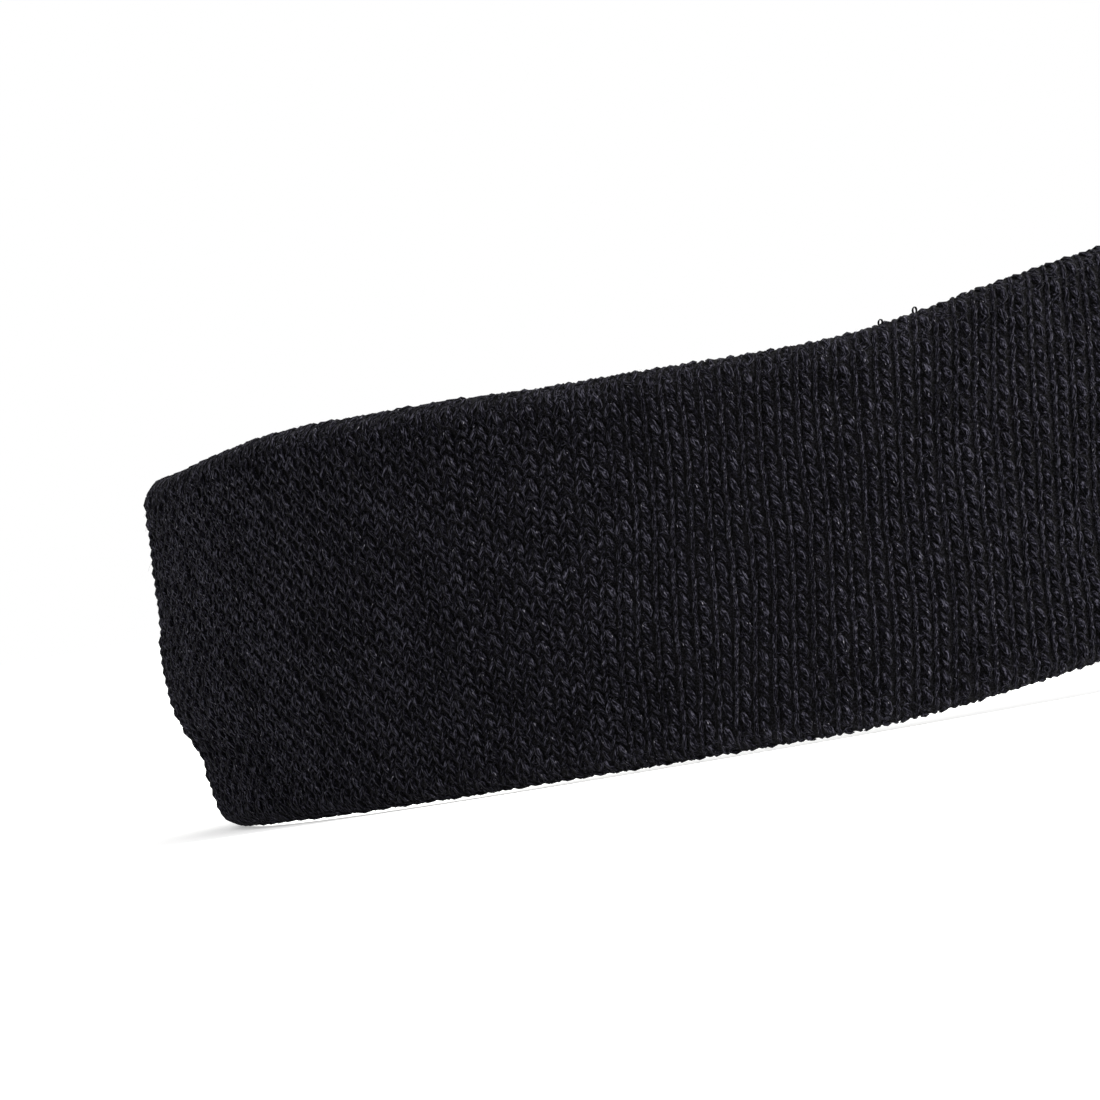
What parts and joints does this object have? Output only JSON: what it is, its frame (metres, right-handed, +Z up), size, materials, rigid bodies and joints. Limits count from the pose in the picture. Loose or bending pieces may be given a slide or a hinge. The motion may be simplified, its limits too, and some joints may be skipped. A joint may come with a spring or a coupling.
{
  "type": "sports headband",
  "caption": "Stretch knit sports headband: a double-layer band with rolled edges, elastic threads inside and a blank label, standing open in its worn shape.",
  "frame": {"origin": "centre of the loop's bounding box on the plane that the lower edge rests on", "axes": "+Z up, -Y to the front of the loop, +X to the side where the front edge lifts"},
  "size_m": [0.1675, 0.202, 0.05],
  "materials": {
    "outer_yarn": "matt black plain knit with slightly fuzzy yarn",
    "inner_yarn": "matt black knit, softer and flatter than the outside",
    "elastic_cover": "dark textile cover wound on elastic",
    "chain_yarn": "black linking yarn",
    "label_satin": "off-white satin tape",
    "label_thread": "white sewing thread"
  },
  "bodies": {
    "root": {"outer_knit_layer": "outer_yarn", "inner_knit_layer": "inner_yarn", "elastic_thread_1": "elastic_cover", "elastic_thread_2": "elastic_cover", "elastic_thread_3": "elastic_cover", "elastic_thread_4": "elastic_cover", "elastic_thread_5": "elastic_cover", "elastic_thread_6": "elastic_cover", "elastic_thread_7": "elastic_cover", "elastic_thread_8": "elastic_cover", "linking_thread_lower": "chain_yarn", "linking_thread_upper": "chain_yarn", "linking_tack_lower": "chain_yarn", "linking_tack_upper": "chain_yarn", "care_label": "label_satin", "label_stitching": "label_thread"}
  },
  "joints": []
}
